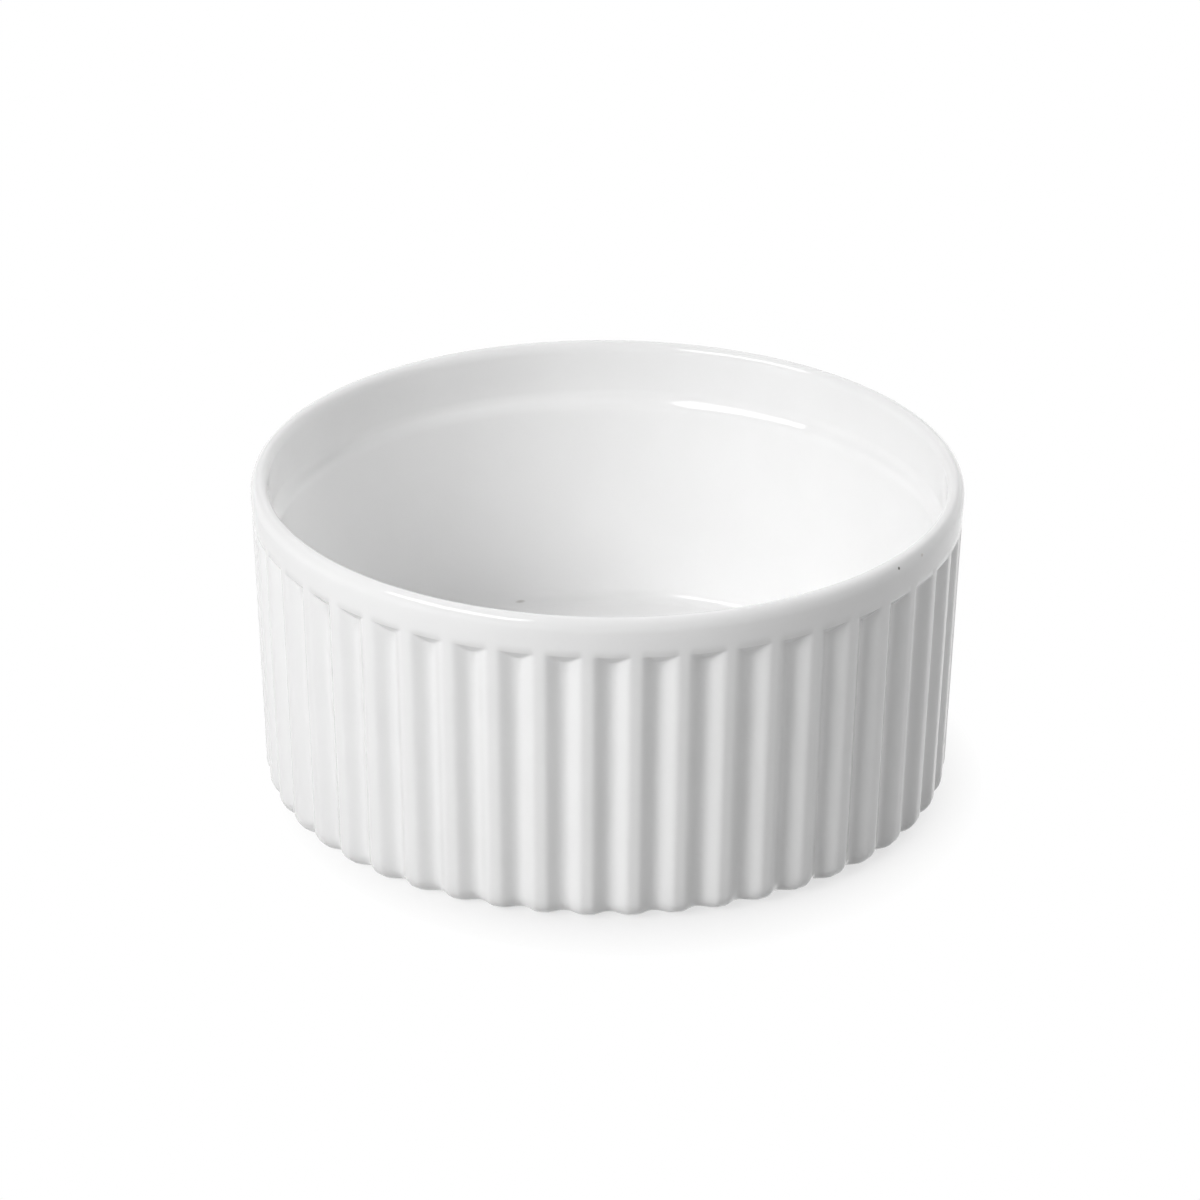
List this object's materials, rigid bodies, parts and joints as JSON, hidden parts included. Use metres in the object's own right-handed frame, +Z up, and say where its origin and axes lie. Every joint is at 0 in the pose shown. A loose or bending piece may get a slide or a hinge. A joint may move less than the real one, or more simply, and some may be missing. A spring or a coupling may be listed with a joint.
{
  "type": "ramekin",
  "caption": "Round straight-sided ramekin of white glazed porcelain, with a fluted outer wall below a plain band, a rounded lip, a soft inner ledge and a foot ring.",
  "frame": {"origin": "centre of the foot ring, on the surface that the dish stands on", "axes": "+Z up through the mouth; +X and +Y across the dish, with the middle of one flute on -Y"},
  "size_m": [0.12, 0.12, 0.055],
  "materials": {
    "glaze": "gloss"
  },
  "bodies": {
    "root": {"ramekin_body": "glaze"}
  },
  "joints": []
}
